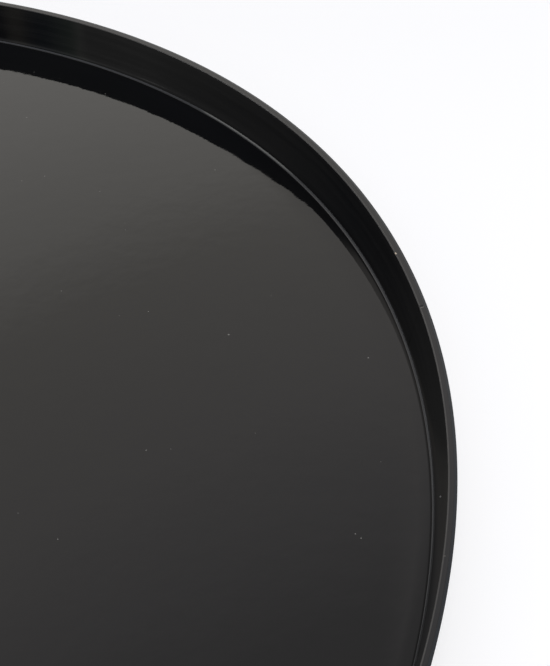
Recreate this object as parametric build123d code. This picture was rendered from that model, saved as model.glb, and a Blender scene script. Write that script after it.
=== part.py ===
from build123d import *

import math
import os

# Round lacquered serving tray: a plywood floor panel inside a bent two-ply rim, on four felt pads.
# Millimetres and degrees. The origin is the centre of the plane that the pads stand on, +Z is up,
# and +X points at the butt seam of the rim's inner ply.

# Rim
OUTER_DIAMETER = 450.0
RIM_TOP_WIDTH = 2.0
INNER_PLY_WIDTH = 1.3
WALL_LEAN = 11.0
RECESS_DEPTH = 13.4
SEAM_GAP = 0.15
INNER_SEAM_ANGLE = 0.0
OUTER_SEAM_ANGLE = 180.0

# Floor panel, from the serving surface down
FACE_PLY_THICKNESS = 0.8
CORE_PLY_THICKNESS = 2.4
BACK_PLY_THICKNESS = 0.8

# Filler that closes the corner between the floor and the wall
FILLET_REACH = 1.2
FILLET_LIP = 0.2
FILLET_BEVELS = 2

# Panel pins through the rim's inner ply into the edge of the core ply
PIN_COUNT = 12
PIN_LENGTH = 12.0
PIN_SHANK_RADIUS = 0.45
PIN_HEAD_RADIUS = 0.75
PIN_HEAD_THICKNESS = 0.5
PIN_HEAD_SUNK = 0.2
PIN_HOLE_CLEARANCE = 0.05

# Felt pads
PAD_COUNT = 4
PAD_RADIUS = 13.0
PAD_THICKNESS = 2.0
PAD_CIRCLE_RADIUS = 165.0

# Heights
BACK_Z = PAD_THICKNESS
CORE_Z = BACK_Z + BACK_PLY_THICKNESS
FACE_Z = CORE_Z + CORE_PLY_THICKNESS
FLOOR_Z = FACE_Z + FACE_PLY_THICKNESS
RIM_TOP_Z = FLOOR_Z + RECESS_DEPTH
PIN_Z = CORE_Z + CORE_PLY_THICKNESS / 2

# Radii of the rim's top face
OUTER_TOP_RADIUS = OUTER_DIAMETER / 2
INNER_TOP_RADIUS = OUTER_TOP_RADIUS - RIM_TOP_WIDTH
PLY_LINE_TOP_RADIUS = INNER_TOP_RADIUS + INNER_PLY_WIDTH


def leaning_radius(top_radius, z):
    """Radius at height z of a cone that leans out with the wall and has top_radius at the rim's top."""
    return top_radius - (RIM_TOP_Z - z) * math.tan(math.radians(WALL_LEAN))


FLOOR_RADIUS = leaning_radius(INNER_TOP_RADIUS, FLOOR_Z)
FACE_PLY_RADIUS = FLOOR_RADIUS - FILLET_REACH


def turned(points, arc=360.0, start=0.0):
    """Solid of revolution about Z from a closed outline of (radius, z) points."""
    outline = Polyline([(radius, 0, z) for radius, z in points], close=True)
    return Rot(0, 0, start) * revolve(make_face(outline), Axis.Z, arc)


def rim_ply(inner_top_radius, outer_top_radius, seam_angle):
    """A bent veneer strip: a leaning ring whose two ends nearly meet at the seam."""
    gap_angle = math.degrees(SEAM_GAP / inner_top_radius)
    section = [
        (leaning_radius(inner_top_radius, BACK_Z), BACK_Z),
        (leaning_radius(outer_top_radius, BACK_Z), BACK_Z),
        (outer_top_radius, RIM_TOP_Z),
        (inner_top_radius, RIM_TOP_Z),
    ]
    return turned(section, 360.0 - gap_angle, seam_angle + gap_angle / 2)


def panel_ply(bottom_z, thickness):
    """A disc of veneer whose bevelled edge bears against the leaning rim."""
    top_z = bottom_z + thickness
    section = [
        (0, bottom_z),
        (leaning_radius(INNER_TOP_RADIUS, bottom_z), bottom_z),
        (leaning_radius(INNER_TOP_RADIUS, top_z), top_z),
        (0, top_z),
    ]
    return turned(section)


def face_ply():
    """The serving surface: a disc that stops short of the rim, where the corner filler is keyed in."""
    disc = Cylinder(FACE_PLY_RADIUS, FACE_PLY_THICKNESS, align=(Align.CENTER, Align.CENTER, Align.MIN))
    return Pos(0, 0, FACE_Z) * disc


def corner_fillet():
    """The filler ring: it stands on the core ply, fills the gap beside the face ply and rises up the
    wall in a hollow made of short bevels, which starts level with the floor and ends in a fine lip."""
    crest_z = FLOOR_Z + FILLET_REACH * math.cos(math.radians(WALL_LEAN))
    crest_radius = leaning_radius(INNER_TOP_RADIUS, crest_z)
    toe = (FACE_PLY_RADIUS, 0, FLOOR_Z)
    lip = (crest_radius - FILLET_LIP, 0, crest_z)
    hollow = TangentArc([toe, lip], tangent=(1, 0, 0))
    bevel_ends = [hollow @ (index / FILLET_BEVELS) for index in range(FILLET_BEVELS + 1)]
    wall_side = [
        (crest_radius, crest_z),
        (leaning_radius(INNER_TOP_RADIUS, FACE_Z), FACE_Z),
        (FACE_PLY_RADIUS, FACE_Z),
    ]
    return turned([(point.X, point.Z) for point in bevel_ends] + wall_side)


def around(angle):
    """Placement at an angle about Z whose local Z points out from the axis."""
    return Rot(0, 0, angle) * Rot(0, 90, 0)


def pin_angles():
    """Pins stand halfway between the seams and each other."""
    step = 360.0 / PIN_COUNT
    return [step * (index + 0.5) for index in range(PIN_COUNT)]


def panel_pin(clearance=0.0, head_thickness=PIN_HEAD_THICKNESS):
    """A brad that lies along X with its head outermost. With a clearance it is the hole that holds it."""
    head_face = leaning_radius(PLY_LINE_TOP_RADIUS, PIN_Z) - PIN_HEAD_SUNK
    head_base = head_face - PIN_HEAD_THICKNESS
    shank_length = PIN_LENGTH - PIN_HEAD_THICKNESS
    outward = (Align.CENTER, Align.CENTER, Align.MIN)
    inward = (Align.CENTER, Align.CENTER, Align.MAX)
    head = Pos(0, 0, head_base) * Cylinder(PIN_HEAD_RADIUS + clearance, head_thickness, align=outward)
    shank = Pos(0, 0, head_base) * Cylinder(PIN_SHANK_RADIUS + clearance, shank_length, align=inward)
    return head + shank


def panel_pins():
    return [Pos(0, 0, PIN_Z) * around(angle) * panel_pin() for angle in pin_angles()]


def pin_holes():
    """Holes for the pins, open through the outer face of the inner ply so that each head can be sunk."""
    open_head = PIN_HEAD_THICKNESS + INNER_PLY_WIDTH
    hole = panel_pin(PIN_HOLE_CLEARANCE, open_head)
    return [Pos(0, 0, PIN_Z) * around(angle) * hole for angle in pin_angles()]


def foot_pads():
    """Round felt pads spaced evenly between the X and Y axes."""
    pad = Cylinder(PAD_RADIUS, PAD_THICKNESS, align=(Align.CENTER, Align.CENTER, Align.MIN))
    step = 360.0 / PAD_COUNT
    angles = [step * (index + 0.5) for index in range(PAD_COUNT)]
    return [Rot(0, 0, angle) * Pos(PAD_CIRCLE_RADIUS, 0, 0) * pad for angle in angles]


def main():
    holes = pin_holes()
    inner_ply = rim_ply(INNER_TOP_RADIUS, PLY_LINE_TOP_RADIUS, INNER_SEAM_ANGLE)
    nodes = {
        "floor_face_ply": face_ply(),
        "floor_core_ply": panel_ply(CORE_Z, CORE_PLY_THICKNESS) - holes,
        "floor_back_ply": panel_ply(BACK_Z, BACK_PLY_THICKNESS),
        "rim_inner_ply": inner_ply - holes,
        "rim_outer_ply": rim_ply(PLY_LINE_TOP_RADIUS, OUTER_TOP_RADIUS, OUTER_SEAM_ANGLE),
        "corner_fillet": corner_fillet(),
        "panel_pins": Compound(children=panel_pins()),
        "foot_pads": Compound(children=foot_pads()),
    }
    os.makedirs("parts", exist_ok=True)
    for name, shape in nodes.items():
        export_step(shape, f"parts/{name}.step")


main()
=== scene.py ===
import math
import random

import bpy
from mathutils import Matrix, Vector


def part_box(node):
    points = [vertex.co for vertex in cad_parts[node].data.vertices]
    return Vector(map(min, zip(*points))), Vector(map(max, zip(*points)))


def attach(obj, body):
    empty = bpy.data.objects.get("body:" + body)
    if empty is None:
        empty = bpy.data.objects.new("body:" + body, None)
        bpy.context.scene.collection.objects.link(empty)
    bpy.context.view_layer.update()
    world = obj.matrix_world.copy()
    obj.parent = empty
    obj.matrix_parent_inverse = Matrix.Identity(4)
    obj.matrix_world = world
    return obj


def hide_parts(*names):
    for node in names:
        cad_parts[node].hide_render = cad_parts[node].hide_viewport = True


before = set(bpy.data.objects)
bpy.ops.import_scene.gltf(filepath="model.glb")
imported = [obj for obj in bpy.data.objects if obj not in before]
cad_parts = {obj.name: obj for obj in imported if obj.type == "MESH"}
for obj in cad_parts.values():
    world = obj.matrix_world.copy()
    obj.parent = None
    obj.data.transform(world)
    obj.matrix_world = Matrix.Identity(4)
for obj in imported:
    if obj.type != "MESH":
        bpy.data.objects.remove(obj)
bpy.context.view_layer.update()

# Looks of a round black-lacquered serving tray, in metres, in the CAD model's frame: the tray stands on
# the plane z = 0 around the Z axis, and the butt seam of the rim's inner ply is on +X.

MM = 0.001
MICRON = 0.000001
SEED = 7

# ---------------------------------------------------------------- sizes read from the frame

rim_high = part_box("rim_outer_ply")[1]
RIM_TOP_Z = rim_high.z
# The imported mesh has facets, which fall a little short of the true radius.
OUTER_RADIUS = round(max(rim_high.x, rim_high.y), 3)
FLOOR_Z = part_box("floor_face_ply")[1].z
FACE_PLY_BASE_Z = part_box("floor_face_ply")[0].z
UNDERSIDE_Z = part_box("floor_back_ply")[0].z
BACK_PLY_TOP_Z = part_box("floor_back_ply")[1].z

# Sizes that the frame's boxes don't show
RIM_TOP_WIDTH = 2.0 * MM
INNER_PLY_WIDTH = 1.3 * MM
WALL_LEAN = math.radians(11.0)
SEAM_GAP = 0.1 * MM
INNER_SEAM_ANGLE = 0.0
OUTER_SEAM_ANGLE = math.pi
PAD_RADIUS = 13.0 * MM
PAD_COUNT = 4

INNER_TOP_RADIUS = OUTER_RADIUS - RIM_TOP_WIDTH
PLY_LINE_RADIUS = INNER_TOP_RADIUS + INNER_PLY_WIDTH

# The lacquer on the floor swells towards the wall, and dips again just before it. Places are
# distances from the foot of the wall. Up to its steepest place, and from the crest down into the dip, the
# slope grows with distance to a power.
SWELL_REACH = 10.0 * MM
SWELL_STEEPEST = 3.5 * MM
SWELL_CREST = 1.25 * MM
SWELL_SLOPE = math.tan(math.radians(4.1))
DIP_SLOPE_1_MM_PAST_CREST = math.tan(math.radians(15.0))
SLOPE_POWER = 1.5
SWELL_STEPS = 40
SWELL_STEP_CROWDING = 1.6

# The floor's edge: a narrow gap to the wall, and the rounding of both floor pieces' edges
FLOOR_EDGE_GAP = 0.05 * MM
FLOOR_EDGE_ROUNDING = 0.03 * MM

# Filler in the corner between the floor and the wall. Its reach over the floor goes up and down twice a
# turn, but not below the least reach. Its hollow turns upwards at a share of the reach from the wall,
# its toe is sunk in the floor, and it climbs the wall from there.
BEAD_REACH = 0.38 * MM
BEAD_REACH_VARIATION = 0.38 * MM
BEAD_REACH_TURN = math.radians(-10.6)
BEAD_LEAST_REACH = 0.16 * MM
BEAD_TURN_SHARE = 0.3
BEAD_TOE_SINK = 0.02 * MM
BEAD_CLIMB = 0.26 * MM
BEAD_STEPS = 14

# The stretch of the filler that is painted pale, a painted highlight standing in for a reflection: its ends
# round the rim, how far each end fades, and the heights above the floor between which the painted highlight
# starts
PAINTED_HIGHLIGHT_FROM = math.radians(21.0)
PAINTED_HIGHLIGHT_TO = math.radians(35.0)
PAINTED_HIGHLIGHT_FADE_IN = 12.0 * MM
PAINTED_HIGHLIGHT_FADE_OUT = -6.0 * MM
PAINTED_HIGHLIGHT_HEIGHTS = (0.26 * MM, 0.34 * MM)

# The rim's worn top: how far the inner strip's inner side and the outer strip's outer side fall away
INNER_SIDE_FALL = 0.12 * MM
OUTER_SIDE_FALL = 0.03 * MM

# Roundings of the strips' edges and of their ends at the seams, and how far below the rim's top the
# ends' rounding and the chips may reach
SHARP_EDGE = 0.05 * MM
WORN_INNER_EDGE = 0.26 * MM
OUTER_TOP_EDGE = 0.06 * MM
OUTER_FOOT_EDGE = 0.3 * MM
SEAM_ROUNDING = 0.16 * MM
SEAM_ROUNDING_LIMIT = 0.8
DENTED_DEPTH = 1.2 * MM

# Felt pads: their edges' roundings, how far they are smaller than the CAD's, and their raggedness
PAD_FOOT_ROUNDING = 0.55 * MM
PAD_TOP_ROUNDING = 0.2 * MM
PAD_SHRINK = 0.15 * MM
PAD_FUZZ_MM = 0.07

# Specks of dust in the lacquer: the scattered ones' radii and heights, and how far every speck's skirt is
# sunk in the surface and its rim stands proud of it
SCATTERED_NIBS = 110
NIB_SIZES_MM = (0.06, 0.15)
NIB_HEIGHT_SHARE = 0.2
NIB_SKIRT = 0.02 * MM
NIB_PROUD = 0.5 * MICRON

# Meshes: segments in a full turn and steps in a rounded corner, small distances for finding slopes, and
# the finest and the longest side
SEGMENTS = 720
PAD_SEGMENTS = 180
ARC_STEPS = 6
NUDGE = 0.005 * MM
SWELL_NUDGE = 0.001 * MM
FINE_STEP = 0.04 * MM
LONGEST_SIDE = 0.9 * MM


def leaning_radius(top_radius, z):
    """Radius at height z of a cone that leans out with the wall and has top_radius at the rim's top."""
    return top_radius - (RIM_TOP_Z - z) * math.tan(WALL_LEAN)


WALL_FOOT_RADIUS = leaning_radius(INNER_TOP_RADIUS, FLOOR_Z)


# ---------------------------------------------------------------- mesh building

class Corner:
    """A corner of a lathe outline, rounded with a radius, in the (radius, z) half-plane."""

    def __init__(self, r, z, rounding):
        self.point = Vector((r, z))
        self.rounding = rounding


def outward(direction):
    """The normal on the right of a direction in the (radius, z) half-plane."""
    return Vector((direction.y, -direction.x))


def rounded_outline(corners, closed=True):
    """Points of an outline as (point, outward normal), its material on the left of the path's direction.
    Each corner becomes an arc that leaves both of its sides along their own directions."""
    count = len(corners)
    outline = []
    for index, corner in enumerate(corners):
        if not closed and index in (0, count - 1):
            other = corners[1] if index == 0 else corners[-2]
            along = (other.point - corner.point) * (1 if index == 0 else -1)
            outline.append((corner.point.copy(), outward(along.normalized())))
            continue
        before = (corner.point - corners[index - 1].point).normalized()
        after = (corners[(index + 1) % count].point - corner.point).normalized()
        outline += corner_arc(corner, before, after)
    return outline


def corner_arc(corner, before, after):
    """The arc between two sides of an outline, as (point, outward normal)."""
    turn = math.atan2(before.cross(after), before.dot(after))
    bend = math.copysign(corner.rounding, turn)
    start = corner.point - before * (corner.rounding * math.tan(abs(turn) / 2))
    side = outward(before)
    centre = start - side * bend
    arc = []
    for step in range(ARC_STEPS + 1):
        angle = turn * step / ARC_STEPS
        normal = Vector((
            side.x * math.cos(angle) - side.y * math.sin(angle),
            side.x * math.sin(angle) + side.y * math.cos(angle),
        ))
        arc.append((centre + normal * bend, normal))
    return arc


def filled_in(outline, longest):
    """The outline with each stretch longer than a length divided into shorter ones."""
    result = []
    for index, (point, normal) in enumerate(outline):
        following, next_normal = outline[(index + 1) % len(outline)]
        pieces = max(1, math.ceil((following - point).length / longest))
        for piece in range(pieces):
            share = piece / pieces
            result.append((point.lerp(following, share), normal.lerp(next_normal, share).normalized()))
    return result


def even_angles(start=0.0, sweep=math.tau, segments=SEGMENTS):
    """Angles from a start through a sweep, both ends included."""
    return [start + sweep * index / segments for index in range(segments + 1)]


def with_fine_angles(angles, centre, half_width, step):
    """The angles, with closer ones added around a centre."""
    steps = math.ceil(half_width / step)
    extra = [centre + index * step for index in range(-steps, steps + 1)]
    kept = [angle for angle in angles if abs(angle - centre) > half_width + step]
    return sorted(kept + [angle for angle in extra if angles[0] <= angle <= angles[-1]])


def dented(angle, point, normal, dent):
    """Place and normal of an outline point turned to an angle and pushed in by the dent there."""
    radial = Vector((math.cos(angle), math.sin(angle), 0.0))
    around = Vector((-math.sin(angle), math.cos(angle), 0.0))
    facing = radial * normal.x + Vector((0, 0, normal.y))
    place = radial * point.x + Vector((0, 0, point.y))
    depth = dent(angle, point) if dent else 0.0
    if depth == 0.0:
        return place, facing
    along = Vector((-normal.y, normal.x))
    slope_along = (dent(angle, point + along * NUDGE) - depth) / NUDGE
    slope_around = (dent(angle + NUDGE / point.x, point) - depth) / NUDGE
    tangent = radial * along.x + Vector((0, 0, along.y))
    tilted = facing + tangent * slope_along + around * slope_around
    return place - facing * depth, tilted.normalized()


def mesh_object(name, vertices, faces, normals):
    """An object from vertices that each have their own normal. Its end caps stay flat."""
    mesh = bpy.data.meshes.new(name)
    mesh.from_pydata([tuple(v) for v in vertices], [], faces)
    mesh.polygons.foreach_set("use_smooth", [len(face) < 5 for face in faces])
    mesh.normals_split_custom_set_from_vertices([tuple(n) for n in normals])
    mesh.validate()
    obj = bpy.data.objects.new(name, mesh)
    bpy.context.scene.collection.objects.link(obj)
    return obj


def lathe(name, outlines, angles, dent=None):
    """A mesh swept about Z through the angles, with a closed outline of (point, normal) for each. A full
    turn joins up, and a shorter one is capped. dent(angle, point) gives how far the surface is pushed in."""
    full_turn = abs(angles[-1] - angles[0] - math.tau) < 1e-9
    columns = angles[:-1] if full_turn else angles
    vertices = []
    normals = []
    for angle, outline in zip(columns, outlines):
        for point, normal in outline:
            place, facing = dented(angle, point, normal, dent)
            vertices.append(place)
            normals.append(facing)
    rows = len(outlines[0])
    faces = []
    last = len(columns) if full_turn else len(columns) - 1
    for column in range(last):
        here = column * rows
        there = ((column + 1) % len(columns)) * rows
        for row in range(rows):
            above = (row + 1) % rows
            faces.append((here + row, there + row, there + above, here + above))
    if not full_turn:
        faces.append(tuple(range(rows)))
        faces.append(tuple(last * rows + row for row in reversed(range(rows))))
    return mesh_object(name, vertices, faces, normals)


def disc(name, outline, angles):
    """A lathe whose outline starts and ends on the axis, so that each end is one point with a fan."""
    vertices = []
    normals = []
    ring = outline[1:-1]
    columns = angles[:-1]
    for angle in columns:
        for point, normal in ring:
            place, facing = dented(angle, point, normal, None)
            vertices.append(place)
            normals.append(facing)
    rows = len(ring)
    faces = []
    first_pole = len(vertices)
    last_pole = first_pole + 1
    for pole, normal in (outline[0], outline[-1]):
        vertices.append(Vector((0, 0, pole.y)))
        normals.append(Vector((0, 0, normal.y)))
    for column in range(len(columns)):
        here = column * rows
        there = ((column + 1) % len(columns)) * rows
        for row in range(rows - 1):
            faces.append((here + row, there + row, there + row + 1, here + row + 1))
        faces.append((first_pole, there, here))
        faces.append((last_pole, here + rows - 1, there + rows - 1))
    return mesh_object(name, vertices, faces, normals)


def finish_piece(obj, material, slot, *nodes):
    """Gives a piece its material and hides the CAD nodes that it replaces. The slot is not used."""
    obj.data.materials.append(material)
    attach(obj, "root")
    if nodes:
        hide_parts(*nodes)


# ---------------------------------------------------------------- material building

def new_material(name):
    """A material with its node tree and its main shader."""
    material = bpy.data.materials.new(name)
    material.use_nodes = True
    tree = material.node_tree
    return material, tree, tree.nodes["Principled BSDF"]


def add_node(tree, kind, **settings):
    """A new node with some of its settings."""
    node = tree.nodes.new(kind)
    for key, value in settings.items():
        setattr(node, key, value)
    return node


def math_node(tree, operation, first, second=None):
    """A maths node on values that are numbers or sockets."""
    node = add_node(tree, "ShaderNodeMath", operation=operation)
    for socket, value in zip(node.inputs, (first, second)):
        if isinstance(value, float):
            socket.default_value = value
        elif value is not None:
            tree.links.new(value, socket)
    return node.outputs[0]


def tray_coordinates(tree):
    """Places in the piece's own axes, in metres."""
    return add_node(tree, "ShaderNodeTexCoord").outputs["Object"]


def components(tree, coordinates):
    """The three sockets of a vector."""
    split = add_node(tree, "ShaderNodeSeparateXYZ")
    tree.links.new(coordinates, split.inputs[0])
    return split.outputs


def rim_coordinates(tree):
    """Places as (distance along the rim, distance from the axis, height)."""
    x, y, z = components(tree, tray_coordinates(tree))
    angle = math_node(tree, "ARCTAN2", y, x)
    squares = math_node(tree, "ADD", math_node(tree, "MULTIPLY", x, x), math_node(tree, "MULTIPLY", y, y))
    joined = add_node(tree, "ShaderNodeCombineXYZ")
    tree.links.new(math_node(tree, "MULTIPLY", angle, OUTER_RADIUS), joined.inputs["X"])
    tree.links.new(math_node(tree, "SQRT", squares), joined.inputs["Y"])
    tree.links.new(z, joined.inputs["Z"])
    return joined.outputs[0]


def stretched(tree, coordinates, scales):
    """Coordinates in ripples, from scales in ripples per metre along each axis."""
    stretcher = add_node(tree, "ShaderNodeVectorMath", operation="MULTIPLY")
    stretcher.inputs[1].default_value = scales
    tree.links.new(coordinates, stretcher.inputs[0])
    return stretcher.outputs["Vector"]


def evenly(scale):
    """One scale for all three axes."""
    return (scale, scale, scale)


def noise(tree, coordinates, scales, detail=2.0, roughness=0.5):
    """A noise pattern from 0 to 1, with scales in ripples per metre along each axis."""
    pattern = add_node(tree, "ShaderNodeTexNoise")
    pattern.inputs["Scale"].default_value = 1.0
    pattern.inputs["Detail"].default_value = detail
    pattern.inputs["Roughness"].default_value = roughness
    tree.links.new(stretched(tree, coordinates, scales), pattern.inputs["Vector"])
    return pattern.outputs["Fac"]


def spread(tree, value, low, high):
    """The value, which runs from 0 to 1, spread from low to high."""
    return step_between(tree, value, 0.0, 1.0, low, high, "LINEAR")


def step_between(tree, value, low, high, start=0.0, end=1.0, shape="SMOOTHSTEP"):
    """A step from start to end as the value goes from low to high."""
    step = add_node(tree, "ShaderNodeMapRange", interpolation_type=shape)
    step.inputs["From Min"].default_value = low
    step.inputs["From Max"].default_value = high
    step.inputs["To Min"].default_value = start
    step.inputs["To Max"].default_value = end
    tree.links.new(value, step.inputs["Value"])
    return step.outputs["Result"]


def mixed(tree, share, first, second):
    """A colour between two, each of them a colour or a socket."""
    mixer = add_node(tree, "ShaderNodeMix", data_type="RGBA")
    for name, value in (("A", first), ("B", second)):
        if isinstance(value, tuple):
            mixer.inputs[name].default_value = (*value, 1)
        else:
            tree.links.new(value, mixer.inputs[name])
    tree.links.new(share, mixer.inputs["Factor"])
    return mixer.outputs["Result"]


def blended(tree, share, first, second):
    """A number between two, each of them a socket."""
    rest = math_node(tree, "SUBTRACT", 1.0, share)
    return math_node(
        tree, "ADD", math_node(tree, "MULTIPLY", second, share), math_node(tree, "MULTIPLY", first, rest)
    )


def total(tree, *heights):
    """The sum of some sockets."""
    result = heights[0]
    for height in heights[1:]:
        result = math_node(tree, "ADD", result, height)
    return result


def lacquered(name):
    """A new material with lacquer's refractive index."""
    material, tree, shader = new_material(name)
    shader.inputs["IOR"].default_value = LACQUER_IOR
    return material, tree, shader


def colour_surface(tree, shader, share, first, second):
    """Gives the surface a colour between two, each of them a colour or a socket."""
    tree.links.new(mixed(tree, share, first, second), shader.inputs["Base Color"])


def roughen(tree, shader, value, smooth, rough):
    """Spreads the surface's roughness by a value from 0 to 1."""
    tree.links.new(spread(tree, value, smooth, rough), shader.inputs["Roughness"])


def raise_surface(tree, shader, height):
    """Bump from a height in metres."""
    bump = add_node(tree, "ShaderNodeBump")
    bump.inputs["Strength"].default_value = 1.0
    bump.inputs["Distance"].default_value = 1.0
    tree.links.new(height, bump.inputs["Height"])
    tree.links.new(bump.outputs["Normal"], shader.inputs["Normal"])


def spot_mask(tree, coordinates, place, stretch, inner, outer):
    """1 within a distance of a place and 0 beyond another, after stretching the axes by factors."""
    gap = add_node(tree, "ShaderNodeVectorMath", operation="SUBTRACT")
    gap.inputs[1].default_value = place
    tree.links.new(coordinates, gap.inputs[0])
    length = add_node(tree, "ShaderNodeVectorMath", operation="LENGTH")
    tree.links.new(stretched(tree, gap.outputs["Vector"], stretch), length.inputs[0])
    return step_between(tree, length.outputs["Value"], inner, outer, 1.0, 0.0)


# ---------------------------------------------------------------- materials

# Refractive index, and colours as pairs from dark to light
LACQUER_IOR = 1.5
FLOOR_BODY = (0.0018, 0.0018, 0.0018), (0.0032, 0.0031, 0.0030)
WALL_STREAKS = (0.0006, 0.0006, 0.0006), (0.0058, 0.0056, 0.0054)
INNER_EDGE = (0.004, 0.004, 0.0045), (0.016, 0.016, 0.017)
OUTER_EDGE = (0.006, 0.008, 0.010), (0.018, 0.022, 0.027)
WORN_EDGE = (0.038, 0.036, 0.034), (0.067, 0.064, 0.061)
FILLER = (0.036, 0.036, 0.037), (0.066, 0.066, 0.067)
# Pale colour of a painted highlight on the corner filler, standing in for a reflection
FILLER_PAINTED_HIGHLIGHT = (0.17, 0.17, 0.16)
UNDERSIDE = (0.006, 0.006, 0.006), (0.014, 0.013, 0.012)
DARK_DUST = (0.002, 0.002, 0.002)
PALE_DUST = (0.10, 0.097, 0.093), (0.24, 0.23, 0.22)
# Painted shade: the colour of the felt's hollows between clumps, darker than the fibres
FELT_HOLLOW_SHADE = (0.03, 0.029, 0.028)
FELT_FIBRES = (0.018, 0.017, 0.017), (0.085, 0.082, 0.080)
FELT_SHEEN = (0.55, 0.54, 0.53, 1)
BIRCH = (0.50, 0.36, 0.22), (0.68, 0.53, 0.36)
BIRCH_PORES = (0.33, 0.22, 0.13)
STEEL = (0.42, 0.42, 0.43), (0.62, 0.62, 0.63)
WOOD_PALE = (0.55, 0.46, 0.36)
WORN_MARK = (0.075, 0.068, 0.062)
# Painted shade: the dark colour of the worn-down dent at the seam
SEAM_SHADE = (0.004, 0.004, 0.004)
SEAM_LIP = (0.16, 0.15, 0.14)
CHIP_ROUGHNESS = 0.6

# Where patterns that run from 0 to 1 turn from one colour to the other. The chips' runs from their middle.
STREAKS_TURN = (0.32, 0.68)
DUST_TURNS_PALE = (0.38, 0.48)
PORES_END = (0.30, 0.42)
CHIP_ENDS = (0.65, 0.95)

# The heights from the rim's top between which its sanded edge starts, how wide the worn part of the
# inner strip is, and how far its wear fades to either side
EDGE_STARTS = (-0.36 * MM, -0.24 * MM)
WEAR_WIDTH = 0.30 * MM
WEAR_FADING = 0.08 * MM


def lacquer_film(tree, coordinates, peel, sag):
    """The film's unevenness: a fine orange peel on coarser waves and long sags, by the heights in metres
    of the peel and the sags. The waves are three times as high as the peel."""
    fine = spread(tree, noise(tree, coordinates, evenly(520.0), 3.0, 0.6), 0.0, peel)
    middle = spread(tree, noise(tree, coordinates, evenly(150.0), 1.0), 0.0, peel * 3)
    long = spread(tree, noise(tree, coordinates, evenly(32.0), 1.0), 0.0, sag)
    return total(tree, fine, middle, long)


def floor_lacquer():
    """Polished black lacquer on the flat panel: a near-black body under a mirror finish."""
    material, tree, shader = lacquered("floor_lacquer")
    place = tray_coordinates(tree)
    colour_surface(tree, shader, noise(tree, place, evenly(30.0), 4.0), *FLOOR_BODY)
    roughen(tree, shader, noise(tree, place, evenly(60.0), 3.0), 0.02, 0.05)
    raise_surface(tree, shader, lacquer_film(tree, place, 8.0 * MICRON, 12.0 * MICRON))
    return material


def rim_lacquer(name, edge_colours, edge_smooth, edge_rough, worn_radius, chips):
    """Polished lacquer on a bent strip, with faint streaks along the grain. Its sanded top edge is greyer
    and duller, palest where it is worn inside a radius, and chips in it show what lies under it, except one
    dent by the seam whose dark colour is painted shade."""
    material, tree, shader = lacquered(name)
    place = rim_coordinates(tree)
    _, distance, height = components(tree, place)
    grain = noise(tree, place, (40.0, 5000.0, 1400.0), 3.0, 0.6)
    edge_low, edge_high = (RIM_TOP_Z + below for below in EDGE_STARTS)
    on_edge = step_between(tree, height, edge_low, edge_high)
    streaks = noise(tree, place, (16.0, 700.0, 620.0), 3.0, 0.6)
    body = mixed(tree, step_between(tree, streaks, *STREAKS_TURN), *WALL_STREAKS)
    worn_from, worn_to = worn_radius - WEAR_FADING, worn_radius + WEAR_FADING
    worn = step_between(tree, distance, worn_from, worn_to, 1.0, 0.0)
    edge = mixed(tree, worn, mixed(tree, grain, *edge_colours), mixed(tree, grain, *WORN_EDGE))
    colour = mixed(tree, on_edge, body, edge)
    film_roughness = spread(tree, noise(tree, place, evenly(60.0), 3.0), 0.03, 0.07)
    edge_roughness = spread(tree, grain, edge_smooth, edge_rough)
    roughness = blended(tree, on_edge, film_roughness, edge_roughness)
    for chip in chips:
        bare = spot_mask(tree, place, chip.place(), chip.stretch(), *CHIP_ENDS)
        colour = mixed(tree, bare, colour, chip.colour)
        roughness = math_node(tree, "MAXIMUM", roughness, math_node(tree, "MULTIPLY", bare, CHIP_ROUGHNESS))
    tree.links.new(colour, shader.inputs["Base Color"])
    tree.links.new(roughness, shader.inputs["Roughness"])
    telegraphed = spread(tree, grain, 0.0, 0.8 * MICRON)
    film = lacquer_film(tree, place, 2.4 * MICRON, 10.0 * MICRON)
    raise_surface(tree, shader, total(tree, telegraphed, film))
    return material


def corner_filler():
    """The corner's filler, where no polishing pad reaches: a satin grey with streaks along the wall, and
    one stretch of painted highlight, a reflection painted pale, on its upper half."""
    material, tree, shader = lacquered("corner_filler")
    place = rim_coordinates(tree)
    along, _, height = components(tree, place)
    streaks = noise(tree, place, (120.0, 3000.0, 3000.0), 4.0, 0.6)
    # A stretch of the upper half is painted pale: a painted highlight in place of a reflection
    highlight_low, highlight_high = (FLOOR_Z + above for above in PAINTED_HIGHLIGHT_HEIGHTS)
    painted_highlight = step_between(tree, height, highlight_low, highlight_high)
    for end, fading in ((PAINTED_HIGHLIGHT_FROM, PAINTED_HIGHLIGHT_FADE_IN), (PAINTED_HIGHLIGHT_TO, PAINTED_HIGHLIGHT_FADE_OUT)):
        beside = step_between(tree, along, end * OUTER_RADIUS, end * OUTER_RADIUS + fading)
        painted_highlight = math_node(tree, "MULTIPLY", painted_highlight, beside)
    colour_surface(tree, shader, painted_highlight, mixed(tree, streaks, *FILLER), FILLER_PAINTED_HIGHLIGHT)
    roughen(tree, shader, streaks, 0.08, 0.22)
    raise_surface(tree, shader, spread(tree, streaks, 0.0, 3.0 * MICRON))
    return material


def underside_lacquer():
    """Satin black lacquer, dulled by rubbing along the grain."""
    material, tree, shader = lacquered("underside_lacquer")
    place = tray_coordinates(tree)
    grain = noise(tree, place, (12.0, 700.0, 700.0), 5.0, 0.6)
    rubbing = noise(tree, place, (60.0, 2600.0, 60.0), 3.0, 0.6)
    colour_surface(tree, shader, grain, *UNDERSIDE)
    roughen(tree, shader, rubbing, 0.24, 0.46)
    grain_height = spread(tree, grain, 0.0, 14.0 * MICRON)
    raise_surface(tree, shader, total(tree, grain_height, spread(tree, rubbing, 0.0, 2.0 * MICRON)))
    return material


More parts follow.
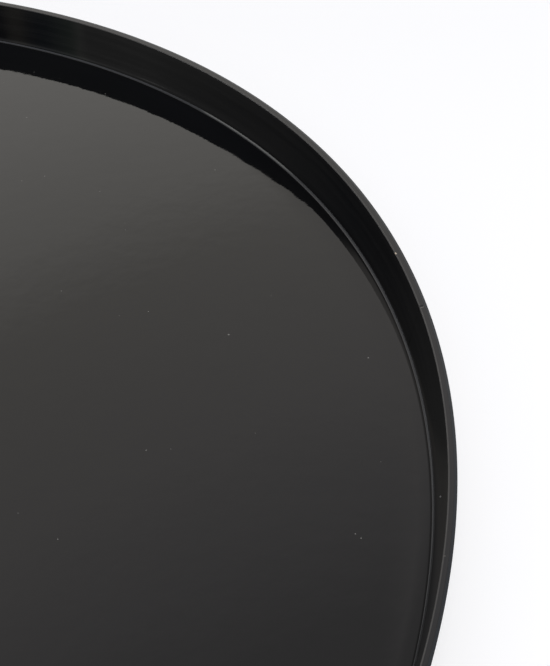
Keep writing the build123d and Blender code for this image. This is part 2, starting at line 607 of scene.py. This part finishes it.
def dust_speck():
    """Dust caught in the lacquer, pale or dark from speck to speck, under the same gloss."""
    material, tree, shader = lacquered("dust_speck")
    place = tray_coordinates(tree)
    is_pale = step_between(tree, noise(tree, place, evenly(90.0), 1.0), *DUST_TURNS_PALE)
    grain = noise(tree, place, evenly(2400.0), 3.0)
    colour_surface(tree, shader, is_pale, DARK_DUST, mixed(tree, grain, *PALE_DUST))
    roughen(tree, shader, grain, 0.10, 0.35)
    raise_surface(tree, shader, spread(tree, grain, 0.0, 6.0 * MICRON))
    return material


def pad_felt():
    """Pressed charcoal wool felt: fine tangled fibres with a soft sheen."""
    material, tree, shader = new_material("pad_felt")
    shader.inputs["Sheen Weight"].default_value = 0.35
    shader.inputs["Sheen Roughness"].default_value = 0.6
    shader.inputs["Sheen Tint"].default_value = FELT_SHEEN
    place = tray_coordinates(tree)
    tangle = noise(tree, place, evenly(2600.0), 5.0, 0.7)
    clumps = noise(tree, place, evenly(420.0), 3.0)
    # The hollows between clumps, where the bump is lowest, are painted darker: painted shade
    colour_surface(tree, shader, clumps, FELT_HOLLOW_SHADE, mixed(tree, tangle, *FELT_FIBRES))
    roughen(tree, shader, tangle, 0.80, 1.0)
    fibre_height = spread(tree, tangle, 0.0, 160.0 * MICRON)
    raise_surface(tree, shader, total(tree, fibre_height, spread(tree, clumps, 0.0, 200.0 * MICRON)))
    return material


def bare_veneer():
    """Birch veneer whose grain runs along Y, across the face ply's."""
    material, tree, shader = new_material("bare_veneer")
    place = tray_coordinates(tree)
    figure = noise(tree, place, (160.0, 9.0, 160.0), 5.0, 0.6)
    pores = noise(tree, place, (3200.0, 160.0, 3200.0), 2.0, 0.7)
    between_pores = step_between(tree, pores, *PORES_END)
    colour_surface(tree, shader, between_pores, BIRCH_PORES, mixed(tree, figure, *BIRCH))
    roughen(tree, shader, figure, 0.55, 0.72)
    raise_surface(tree, shader, spread(tree, pores, 0.0, 20.0 * MICRON))
    return material


def pin_steel():
    """Drawn steel wire with fine die lines."""
    material, tree, shader = new_material("pin_steel")
    shader.inputs["Metallic"].default_value = 1.0
    place = tray_coordinates(tree)
    lines = noise(tree, place, (1800.0, 1800.0, 9000.0), 3.0, 0.6)
    colour_surface(tree, shader, lines, *STEEL)
    roughen(tree, shader, lines, 0.22, 0.42)
    raise_surface(tree, shader, spread(tree, lines, 0.0, 4.0 * MICRON))
    return material


# ---------------------------------------------------------------- floor

def risen(slope, run, reach):
    """Height at the end of a run whose slope grows from nothing with the run's share of a reach, to a
    power, up to the given slope at the whole reach."""
    return slope * reach * (run / reach) ** (SLOPE_POWER + 1) / (SLOPE_POWER + 1)


def swell_height(distance):
    """How far the floor stands proud of its middle, by distance from the foot of the wall. Its slope
    grows to the steepest place, fades to nothing at the crest and turns down beyond it."""
    ramp = SWELL_REACH - SWELL_STEEPEST
    top = SWELL_STEEPEST - SWELL_CREST
    if distance >= SWELL_REACH:
        return 0.0
    if distance >= SWELL_STEEPEST:
        return risen(SWELL_SLOPE, SWELL_REACH - distance, ramp)
    from_crest = distance - SWELL_CREST
    crest_height = risen(SWELL_SLOPE, ramp, ramp) + SWELL_SLOPE * top / 2
    if from_crest >= 0:
        return crest_height - SWELL_SLOPE * from_crest ** 2 / top / 2
    return crest_height - risen(DIP_SLOPE_1_MM_PAST_CREST, -from_crest, 1.0 * MM)


def swell_normal(distance):
    """The floor's normal in the (radius, z) half-plane, by distance from the foot of the wall."""
    rise = swell_height(distance - SWELL_NUDGE) - swell_height(distance + SWELL_NUDGE)
    return Vector((-rise, 2 * SWELL_NUDGE)).normalized()


def floor_surface(material):
    """The serving surface: flat, then the swell, then an edge that dips under the corner filler."""
    edge = WALL_FOOT_RADIUS - FLOOR_EDGE_GAP
    dip_start = FLOOR_EDGE_GAP + FLOOR_EDGE_ROUNDING
    lower_edge = Corner(edge, FACE_PLY_BASE_Z, FLOOR_EDGE_ROUNDING)
    shoulder = Corner(edge, FLOOR_Z + swell_height(dip_start), FLOOR_EDGE_ROUNDING)
    tangent = swell_normal(dip_start)
    outline = [(Vector((0.0, FACE_PLY_BASE_Z)), Vector((0, -1)))]
    outline += corner_arc(lower_edge, Vector((1, 0)), Vector((0, 1)))
    outline += corner_arc(shoulder, Vector((0, 1)), Vector((-tangent.y, tangent.x)))
    for step in range(SWELL_STEPS + 1):
        # Close together near the wall, where the floor curves most
        share = (step / SWELL_STEPS) ** SWELL_STEP_CROWDING
        distance = dip_start + (SWELL_REACH - dip_start) * share
        point = Vector((WALL_FOOT_RADIUS - distance, FLOOR_Z + swell_height(distance)))
        outline.append((point, swell_normal(distance)))
    outline.append((Vector((0.0, FLOOR_Z)), Vector((0, 1))))
    obj = disc("floor_surface", outline, even_angles())
    finish_piece(obj, material, "black_lacquer", "floor_face_ply")


def bead_outline(reach):
    """The filler's outline where it reaches a distance over the floor: a hollow sweep that leaves the
    floor level and climbs the wall, as (point, outward normal)."""
    toe = Vector((WALL_FOOT_RADIUS - reach, FLOOR_Z + swell_height(reach) - BEAD_TOE_SINK))
    corner = Vector((WALL_FOOT_RADIUS - reach * BEAD_TURN_SHARE, toe.y))
    top_z = toe.y + BEAD_CLIMB
    top = Vector((leaning_radius(INNER_TOP_RADIUS, top_z), top_z))
    base_z = FLOOR_Z - BEAD_CLIMB
    outline = [
        (Vector((toe.x, base_z)), Vector((-1, 0))),
        (Vector((leaning_radius(INNER_TOP_RADIUS, base_z), base_z)), Vector((0, -1))),
    ]
    for step in range(BEAD_STEPS, -1, -1):
        share = step / BEAD_STEPS
        before = toe.lerp(corner, share)
        after = corner.lerp(top, share)
        along = (before - after).normalized()
        outline.append((before.lerp(after, share), outward(along)))
    return outline


def corner_bead(material):
    """The filler in the corner between the floor and the wall, laid by hand and so uneven."""
    def reach(angle):
        """How far the filler reaches over the floor at an angle."""
        variation = BEAD_REACH_VARIATION * math.sin(2 * (angle - BEAD_REACH_TURN))
        return max(BEAD_LEAST_REACH, BEAD_REACH + variation)

    outlines = [bead_outline(reach(angle)) for angle in even_angles()]
    obj = lathe("corner_bead", outlines, even_angles())
    finish_piece(obj, material, "lacquered_filler", "corner_fillet")


# ---------------------------------------------------------------- rim

class Chip:
    """Damage on the rim's top edge: an oval bowl with its sizes along and across the rim, at an angle in
    degrees and a distance outwards from the rim's inner edge."""

    def __init__(self, angle, inset, half_length, half_width, depth, colour):
        self.angle = math.radians(angle)
        self.radius = INNER_TOP_RADIUS + inset
        self.half_length = half_length
        self.half_width = half_width
        self.depth = depth
        self.colour = colour
        self.z = RIM_TOP_Z - INNER_SIDE_FALL * (PLY_LINE_RADIUS - self.radius) / INNER_PLY_WIDTH

    def place(self):
        """The chip's middle in rim coordinates."""
        return (self.angle * OUTER_RADIUS, self.radius, self.z)

    def stretch(self):
        """Factors that turn the chip's bowl into a ball of radius 1."""
        return (1 / self.half_length, 1 / self.half_width, 1 / self.half_width)

    def dent(self, angle, point):
        """How deep the bowl is at an angle and an outline point."""
        along = (angle - self.angle) * OUTER_RADIUS / self.half_length
        across = (point.x - self.radius) / self.half_width
        below = (point.y - self.z) / self.half_width
        distance = math.sqrt(along ** 2 + across ** 2 + below ** 2)
        if distance >= 1.0:
            return 0.0
        return self.depth * (1 + math.cos(math.pi * distance)) / 2


# Two marks along the edge, and both sides of the seam: one worn down and coloured dark with painted shade,
# one with a pale lip
CHIPS = [
    Chip(5.75, 0.20 * MM, 0.50 * MM, 0.27 * MM, 0.12 * MM, WOOD_PALE),
    Chip(-20.05, 0.35 * MM, 0.14 * MM, 0.35 * MM, 0.03 * MM, WORN_MARK),
    # Dent by the seam, coloured with painted shade
    Chip(0.07, 0.55 * MM, 0.42 * MM, 0.60 * MM, 0.16 * MM, SEAM_SHADE),
    Chip(-0.05, 0.55 * MM, 0.15 * MM, 0.75 * MM, 0.03 * MM, SEAM_LIP),
]


def end_rounding(from_end):
    """How far a strip's surface is rounded back, by the distance from its end at the seam. It stops short
    of the full rounding, so that the end keeps a face."""
    if from_end >= SEAM_ROUNDING:
        return 0.0
    share = 1 - from_end / SEAM_ROUNDING
    return SEAM_ROUNDING * min(1 - math.sqrt(max(0.0, 1 - share ** 2)), SEAM_ROUNDING_LIMIT)


def rim_strip(name, inner_top, outer_top, roundings, falls, material, seam_angle, chips, node):
    """One bent strip of the rim. Roundings run from the foot's inner corner round by the outer side,
    and falls says how far the top face's inner and outer sides lie below the rim's top."""
    corners = [
        Corner(leaning_radius(inner_top, UNDERSIDE_Z), UNDERSIDE_Z, roundings[0]),
        Corner(leaning_radius(outer_top, UNDERSIDE_Z), UNDERSIDE_Z, roundings[1]),
        Corner(outer_top, RIM_TOP_Z - falls[1], roundings[2]),
        Corner(inner_top, RIM_TOP_Z - falls[0], roundings[3]),
    ]
    half_gap = SEAM_GAP / inner_top / 2
    start = seam_angle + half_gap
    angles = even_angles(start, math.tau - 2 * half_gap)
    end = angles[-1]
    fine = FINE_STEP / OUTER_RADIUS
    # Fine angles reach a little past each chip and each end's rounding
    for chip in chips:
        centre = chip.angle if chip.angle > start else chip.angle + math.tau
        angles = with_fine_angles(angles, centre, 1.2 * chip.half_length / OUTER_RADIUS, fine)
    for edge in (start, end):
        angles = with_fine_angles(angles, edge, 1.5 * SEAM_ROUNDING / OUTER_RADIUS, fine / 2)

    def dent(angle, point):
        """How far the strip's surface is pushed in by its ends' rounding and the chips."""
        if point.y < RIM_TOP_Z - DENTED_DEPTH:
            return 0.0
        depth = end_rounding(min(angle - start, end - angle) * OUTER_RADIUS)
        for chip in chips:
            turned = angle - math.tau if angle - chip.angle > math.pi else angle
            depth = max(depth, chip.dent(turned, point))
        return depth

    outline = filled_in(rounded_outline(corners), LONGEST_SIDE)
    obj = lathe(name, [outline] * len(angles), angles, dent)
    finish_piece(obj, material, "black_lacquer", node)


# ---------------------------------------------------------------- underside and pads

def underside(material):
    """The floor's bottom veneer, whose edge leans with the wall."""
    edge = leaning_radius(INNER_TOP_RADIUS, UNDERSIDE_Z)
    top_edge = leaning_radius(INNER_TOP_RADIUS, BACK_PLY_TOP_Z)
    corners = [
        Corner(0.0, UNDERSIDE_Z, 0.0),
        Corner(edge, UNDERSIDE_Z, FLOOR_EDGE_ROUNDING),
        Corner(top_edge, BACK_PLY_TOP_Z, FLOOR_EDGE_ROUNDING),
        Corner(0.0, BACK_PLY_TOP_Z, 0.0),
    ]
    obj = disc("underside_surface", rounded_outline(corners, closed=False), even_angles())
    finish_piece(obj, material, "black_lacquer", "floor_back_ply")


def felt_pads(material):
    """Felt discs with soft, slightly ragged edges, each its own piece."""
    low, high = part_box("foot_pads")
    circle = (Vector((high.x, high.y)) - Vector((PAD_RADIUS, PAD_RADIUS))).length
    edge = PAD_RADIUS - PAD_SHRINK
    corners = [
        Corner(0.0, low.z, 0.0),
        Corner(edge, low.z, PAD_FOOT_ROUNDING),
        Corner(edge, high.z, PAD_TOP_ROUNDING),
        Corner(0.0, high.z, 0.0),
    ]
    outline = rounded_outline(corners, closed=False)
    fuzz = random.Random(SEED)
    for index in range(PAD_COUNT):
        angle = math.tau * (index + 0.5) / PAD_COUNT
        pad = disc(f"felt_pad_{index + 1}", outline, even_angles(segments=PAD_SEGMENTS))
        for vertex in pad.data.vertices:
            reach = Vector((vertex.co.x, vertex.co.y, 0.0))
            if reach.length > PAD_RADIUS / 2:
                vertex.co += reach.normalized() * fuzz.uniform(-PAD_FUZZ_MM, PAD_FUZZ_MM) * MM
        pad.location = (circle * math.cos(angle), circle * math.sin(angle), 0.0)
        finish_piece(pad, material, "pad_felt", "foot_pads")


# ---------------------------------------------------------------- dust in the lacquer

class Nib:
    """A speck of dust under the lacquer: a low bell on a surface."""

    def __init__(self, place, facing, radius, height):
        self.place = place
        self.facing = facing
        self.radius = radius
        self.height = height


def on_floor(radius, angle):
    """A place on the flat floor, by distance from the axis and angle in degrees."""
    turn = math.radians(angle)
    return Vector((radius * math.cos(turn), radius * math.sin(turn), FLOOR_Z))


def on_wall(height, angle):
    """A place on the wall and its normal there, by height above the floor and angle in degrees."""
    turn = math.radians(angle)
    radius = leaning_radius(INNER_TOP_RADIUS, FLOOR_Z + height)
    place = Vector((radius * math.cos(turn), radius * math.sin(turn), FLOOR_Z + height))
    lean = math.sin(WALL_LEAN)
    upright = math.cos(WALL_LEAN)
    return place, Vector((-upright * math.cos(turn), -upright * math.sin(turn), lean))


# The specks that show most. On the floor, each is (distance from the axis in mm, angle in degrees,
# radius in mm, height in mm). One stands on the wall, as (height above the floor, angle, radius, height).
FLOOR_NIBS = [
    (183, 47, 0.20, 0.040), (163, 37, 0.17, 0.030), (203, 26.5, 0.20, 0.040), (177, 4.6, 0.26, 0.060),
    (140, 17, 0.15, 0.030), (159, 10, 0.15, 0.030), (210, -0.4, 0.20, 0.040), (205, -16.5, 0.16, 0.030),
    (139, -19.5, 0.15, 0.030), (154, -8.6, 0.15, 0.030),
    (207, 52, 0.16, 0.030), (207.5, 49, 0.14, 0.026), (208, 43.5, 0.16, 0.030),
]
WALL_NIB = (6.7, -14.5, 0.30, 0.20)
UP = Vector((0, 0, 1))


def chosen_nibs():
    """The specks that show most, on the floor and the wall."""
    nibs = [
        Nib(on_floor(distance * MM, angle), UP, radius * MM, height * MM)
        for distance, angle, radius, height in FLOOR_NIBS
    ]
    above_floor, angle, radius, height = WALL_NIB
    place, facing = on_wall(above_floor * MM, angle)
    nibs.append(Nib(place, facing, radius * MM, height * MM))
    return nibs


def scattered_nibs():
    """Smaller specks anywhere on the floor's flat part."""
    scatter = random.Random(SEED)
    reach = WALL_FOOT_RADIUS - SWELL_REACH
    nibs = []
    for _ in range(SCATTERED_NIBS):
        distance = reach * math.sqrt(scatter.random())
        radius = scatter.uniform(*NIB_SIZES_MM) * MM
        place = on_floor(distance, scatter.uniform(0, 360))
        nibs.append(Nib(place, UP, radius, radius * NIB_HEIGHT_SHARE))
    return nibs


def lacquer_nibs(nibs, material):
    """All the specks as one mesh of small closed bells whose skirts are sunk in the surface. The last
    ring is the skirt's foot."""
    around_steps = 16
    rings = 6
    vertices = []
    normals = []
    faces = []
    for nib in nibs:
        side = nib.facing.orthogonal().normalized()
        other = nib.facing.cross(side)
        first = len(vertices)
        vertices.append(nib.place + nib.facing * nib.height)
        normals.append(nib.facing)
        for ring in range(1, rings + 2):
            share = min(ring / rings, 1.0)
            rise = nib.height * (1 + math.cos(math.pi * share)) / 2 + NIB_PROUD
            slope = nib.height * math.pi * math.sin(math.pi * share) / 2 / nib.radius
            if ring > rings:
                rise = -NIB_SKIRT
            for step in range(around_steps):
                turn = math.tau * step / around_steps
                out = side * math.cos(turn) + other * math.sin(turn)
                vertices.append(nib.place + out * nib.radius * share + nib.facing * rise)
                normals.append((nib.facing + out * slope).normalized())
        base = len(vertices)
        vertices.append(nib.place - nib.facing * NIB_SKIRT)
        normals.append(-nib.facing)
        for step in range(around_steps):
            following = (step + 1) % around_steps
            faces.append((first, first + 1 + step, first + 1 + following))
            for ring in range(rings):
                inner = first + 1 + ring * around_steps
                outer = inner + around_steps
                faces.append((inner + step, outer + step, outer + following, inner + following))
            last = first + 1 + rings * around_steps
            faces.append((base, last + following, last + step))
    obj = mesh_object("lacquer_nibs", vertices, faces, normals)
    finish_piece(obj, material, "black_lacquer")


# ---------------------------------------------------------------- the tray

floor_surface(floor_lacquer())
lacquer_nibs(chosen_nibs() + scattered_nibs(), dust_speck())
corner_bead(corner_filler())

rim_strip(
    "rim_inner_strip", INNER_TOP_RADIUS, PLY_LINE_RADIUS,
    (SHARP_EDGE, SHARP_EDGE, SHARP_EDGE, WORN_INNER_EDGE), (INNER_SIDE_FALL, 0.0),
    rim_lacquer("rim_inner_lacquer", INNER_EDGE, 0.10, 0.20, INNER_TOP_RADIUS + WEAR_WIDTH, CHIPS),
    INNER_SEAM_ANGLE, CHIPS, "rim_inner_ply",
)
rim_strip(
    "rim_outer_strip", PLY_LINE_RADIUS, OUTER_RADIUS,
    (SHARP_EDGE, OUTER_FOOT_EDGE, OUTER_TOP_EDGE, SHARP_EDGE), (0.0, OUTER_SIDE_FALL),
    rim_lacquer("rim_outer_lacquer", OUTER_EDGE, 0.08, 0.18, PLY_LINE_RADIUS, []),
    OUTER_SEAM_ANGLE, [], "rim_outer_ply",
)
underside(underside_lacquer())
felt_pads(pad_felt())
for node, finish in (("floor_core_ply", bare_veneer()), ("panel_pins", pin_steel())):
    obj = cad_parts[node]
    obj.data.materials.clear()
    obj.data.materials.append(finish)


# ---------------------------------------------------------------- floor, light and camera

STAGE_SIZE = 8.0
PAPER = (0.70, 0.70, 0.71, 1)
PAPER_GLOW = (0.985, 0.985, 1.0, 1)
PAPER_GLOW_STRENGTH = 0.36
SOFTBOX_SIZE = 1.2
SOFTBOX_WATTS = 17.0
SOFTBOX_PLACE = Vector((0.6, -0.6, 1.4))


def stage_floor():
    """White paper under the tray, lifted by a little light of its own."""
    bpy.ops.mesh.primitive_plane_add(size=STAGE_SIZE, location=(0, 0, 0))
    floor = bpy.context.object
    floor.name = "stage_floor"
    material, _, shader = new_material("stage_paper")
    shader.inputs["Base Color"].default_value = PAPER
    shader.inputs["Roughness"].default_value = 0.9
    shader.inputs["Specular IOR Level"].default_value = 0.0
    shader.inputs["Emission Color"].default_value = PAPER_GLOW
    shader.inputs["Emission Strength"].default_value = PAPER_GLOW_STRENGTH
    floor.data.materials.append(material)


# The camera looks down on the rim's right side. Directions are in the frame's own axes.
VIEW_TURN = math.radians(-6.6)
VIEW_ELEVATION = math.radians(41.08)
VIEW_ROLL = math.radians(-3.04)
VIEW_DISTANCE = 1.371 * OUTER_RADIUS
VIEW_TARGET = Vector((0.825, 0.083, 0.0)) * OUTER_RADIUS
VIEW_LENS_MM = 68.77


def turned_view(vector):
    """A direction or place given by the view's own right and forward, in the frame's axes."""
    return Matrix.Rotation(VIEW_TURN, 3, "Z") @ vector


def add_camera():
    """The camera, by its distance, elevation and roll about a target in the plane of the rim's top."""
    back = turned_view(Vector((0, -math.cos(VIEW_ELEVATION), math.sin(VIEW_ELEVATION))))
    level = turned_view(Vector((1, 0, 0)))
    upright = back.cross(level)
    right = level * math.cos(VIEW_ROLL) + upright * math.sin(VIEW_ROLL)
    up = upright * math.cos(VIEW_ROLL) - level * math.sin(VIEW_ROLL)
    target = turned_view(VIEW_TARGET) + Vector((0, 0, RIM_TOP_Z))
    data = bpy.data.cameras.new("camera")
    data.lens = VIEW_LENS_MM
    data.sensor_width = 36.0
    data.clip_start = 0.01
    camera = bpy.data.objects.new("camera", data)
    axes = Matrix((right, up, back)).transposed().to_4x4()
    camera.matrix_world = Matrix.Translation(target + back * VIEW_DISTANCE) @ axes
    bpy.context.scene.collection.objects.link(camera)
    bpy.context.scene.camera = camera


# The surroundings. A wide bright panel stands behind the tray. Elsewhere the room is dimmer and goes by
# azimuth, in degrees from the view's forward direction, with one set of tones low down and another
# above, and the horizon glows on the left. The panel's left edge flares out towards its top, and it all
# fades into an even ceiling. Heights are sines of the elevation, and each pair is where a change starts
# and ends.
PANEL_LEFT = (-27.0, -18.8)
PANEL_LEFT_FLARE = 5.0
PANEL_RIGHT = (55.0, 70.0)
PANEL_TILT = 0.22
FLARE_HEIGHTS = (0.66, 0.82)
HIGH_ROOM_HEIGHTS = (0.62, 0.69)
GLOW_HEIGHTS = (0.08, 0.16)
CEILING_HEIGHTS = (0.86, 0.95)
PANEL_BY_HEIGHT = [
    (0.0, (1.00, 0.975, 0.93)),
    (0.48, (1.12, 1.09, 1.04)),
    (0.545, (1.06, 1.03, 0.98)),
    (0.595, (0.84, 0.81, 0.77)),
    (0.70, (0.81, 0.78, 0.77)),
    (0.77, (0.67, 0.65, 0.66)),
    (0.82, (0.52, 0.51, 0.52)),
    (1.0, (0.45, 0.45, 0.45)),
]
LOW_ROOM = [
    (-120.8, (0.10, 0.10, 0.12)),
    (-120.2, (0.32, 0.31, 0.29)),
    (-117.0, (0.36, 0.34, 0.32)),
    (-116.6, (0.15, 0.17, 0.21)),
    (-113.8, (0.18, 0.21, 0.25)),
    (-108.9, (0.44, 0.52, 0.47)),
    (-108.3, (0.68, 0.70, 0.67)),
    (-106.8, (0.54, 0.54, 0.54)),
    (-97.0, (0.62, 0.62, 0.62)),
    (-78.0, (0.43, 0.43, 0.44)),
    (-57.0, (0.24, 0.25, 0.28)),
    (-46.0, (0.27, 0.27, 0.29)),
    (-30.0, (0.46, 0.46, 0.46)),
    (60.0, (0.42, 0.42, 0.42)),
    (100.0, (0.70, 0.69, 0.68)),
    (160.0, (0.10, 0.10, 0.10)),
]
HIGH_ROOM = [
    (-105.0, (0.39, 0.43, 0.51)),
    (-62.0, (0.22, 0.24, 0.30)),
    (-45.0, (0.09, 0.10, 0.13)),
    (-31.0, (0.10, 0.10, 0.12)),
    (-20.0, (0.24, 0.24, 0.25)),
    (60.0, (0.35, 0.35, 0.35)),
    (150.0, (0.30, 0.30, 0.30)),
]
CEILING = (0.40, 0.40, 0.41)
GLOW_BY_AZIMUTH = [
    (-99.0, 0.4),
    (-97.0, 5.0),
    (-77.0, 5.5),
    (-75.0, 1.6),
    (-60.0, 1.8),
    (-40.0, 1.2),
    (-30.0, 0.0),
]


def colour_ramp(tree, value, stops):
    """A ramp from (place from 0 to 1, colour) stops."""
    ramp = add_node(tree, "ShaderNodeValToRGB")
    elements = ramp.color_ramp.elements
    while len(elements) < len(stops):
        elements.new(0.5)
    for element, (place, colour) in zip(elements, stops):
        element.position = place
        element.color = (*colour, 1)
    tree.links.new(value, ramp.inputs["Fac"])
    return ramp.outputs["Color"]


def direction_along(tree, direction):
    """How far the light's direction points along another, from -1 to 1."""
    coordinates = add_node(tree, "ShaderNodeTexCoord")
    along = add_node(tree, "ShaderNodeVectorMath", operation="DOT_PRODUCT")
    along.inputs[1].default_value = direction
    tree.links.new(coordinates.outputs["Generated"], along.inputs[0])
    return along.outputs["Value"]


def scaled(tree, colour, factor):
    """A colour times a factor, both sockets."""
    scaler = add_node(tree, "ShaderNodeVectorMath", operation="SCALE")
    tree.links.new(colour, scaler.inputs[0])
    tree.links.new(factor, scaler.inputs["Scale"])
    return scaler.outputs["Vector"]


def ramp_round(tree, turn, stops):
    """A ramp round the room from (azimuth in degrees, colour) stops. The view's forward is at 0.5."""
    return colour_ramp(tree, turn, [(degrees / 360 + 0.5, colour) for degrees, colour in stops])


def studio_room(tree, turn, upwards):
    """The room by azimuth, low down and above, with the horizon's glow."""
    high = step_between(tree, upwards, *HIGH_ROOM_HEIGHTS)
    room = mixed(tree, high, ramp_round(tree, turn, LOW_ROOM), ramp_round(tree, turn, HIGH_ROOM))
    glow_colours = [(degrees, (level, level, level)) for degrees, level in GLOW_BY_AZIMUTH]
    near_horizon = step_between(tree, upwards, *GLOW_HEIGHTS, 1.0, 0.0)
    sum_of_both = add_node(tree, "ShaderNodeVectorMath", operation="ADD")
    tree.links.new(room, sum_of_both.inputs[0])
    tree.links.new(scaled(tree, ramp_round(tree, turn, glow_colours), near_horizon), sum_of_both.inputs[1])
    return sum_of_both.outputs["Vector"]


def panel_share(tree, azimuth, upwards):
    """1 on the panel and 0 beside it."""
    left_from, left_to, right_from, right_to = (math.radians(edge) for edge in PANEL_LEFT + PANEL_RIGHT)
    flare = step_between(tree, upwards, *FLARE_HEIGHTS, 0.0, math.radians(PANEL_LEFT_FLARE))
    left = step_between(tree, math_node(tree, "ADD", azimuth, flare), left_from, left_to)
    right = step_between(tree, azimuth, right_from, right_to, 1.0, 0.0)
    return math_node(tree, "MULTIPLY", left, right)


def studio_world():
    """Soft surroundings: the panel, the room and the horizon's glow."""
    world = bpy.data.worlds.new("studio")
    world.use_nodes = True
    bpy.context.scene.world = world
    tree = world.node_tree
    sideways = direction_along(tree, turned_view(Vector((1, 0, 0))))
    forwards = direction_along(tree, turned_view(Vector((0, 1, 0))))
    upwards = direction_along(tree, Vector((0, 0, 1)))
    azimuth = math_node(tree, "ARCTAN2", sideways, forwards)
    turn = math_node(tree, "ADD", math_node(tree, "DIVIDE", azimuth, math.tau), 0.5)
    tilted = direction_along(tree, turned_view(Vector((PANEL_TILT, 0, 0))) + Vector((0, 0, 1)))
    panel = colour_ramp(tree, tilted, PANEL_BY_HEIGHT)
    on_panel = panel_share(tree, azimuth, upwards)
    sky = mixed(tree, on_panel, studio_room(tree, turn, upwards), panel)
    overhead = step_between(tree, upwards, *CEILING_HEIGHTS)
    tree.links.new(mixed(tree, overhead, sky, CEILING), tree.nodes["Background"].inputs["Color"])


def softbox():
    """A large soft light above the tray, on the camera's side, facing the frame's origin."""
    data = bpy.data.lights.new("softbox", "AREA")
    data.shape = "SQUARE"
    data.size = SOFTBOX_SIZE
    data.energy = SOFTBOX_WATTS
    light = bpy.data.objects.new("softbox", data)
    place = turned_view(SOFTBOX_PLACE)
    light.location = place
    light.rotation_euler = place.to_track_quat("Z", "Y").to_euler()
    bpy.context.scene.collection.objects.link(light)


stage_floor()
add_camera()
studio_world()
softbox()
bpy.context.scene.view_settings.view_transform = "Standard"
